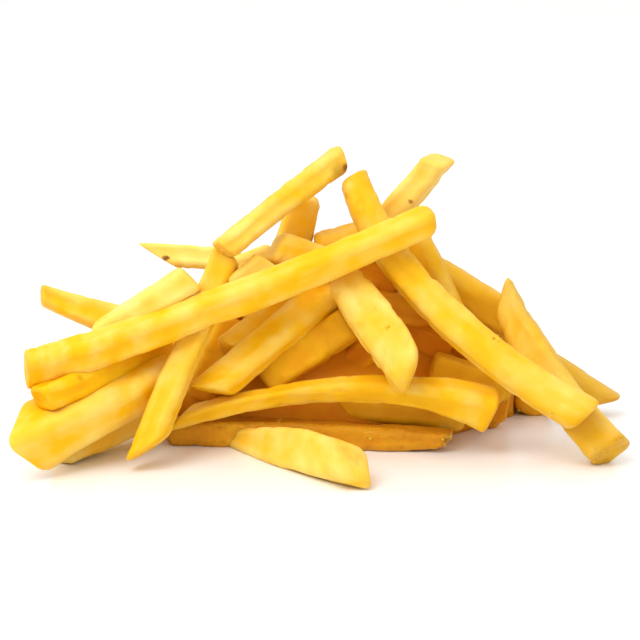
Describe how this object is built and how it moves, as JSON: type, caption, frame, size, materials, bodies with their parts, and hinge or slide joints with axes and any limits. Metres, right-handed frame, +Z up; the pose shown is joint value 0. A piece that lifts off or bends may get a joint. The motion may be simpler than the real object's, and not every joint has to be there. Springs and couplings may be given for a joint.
{
  "type": "heap of french fries",
  "caption": "Loose heap of straight-cut golden french fries lying on a flat surface, built as one fused solid that rests on its flat underside.",
  "frame": {"origin": "on the surface that the heap lies on, under the middle of its flat underside", "axes": "+X along the heap's long side, to the right as seen from the front, +Y to the back, +Z up"},
  "size_m": [0.1653, 0.1122, 0.08],
  "materials": {
    "fried_potato": "golden-yellow fried potato, faintly oily, with browned ends and edges"
  },
  "bodies": {
    "root": {"fries_heap": "fried_potato"}
  },
  "joints": []
}
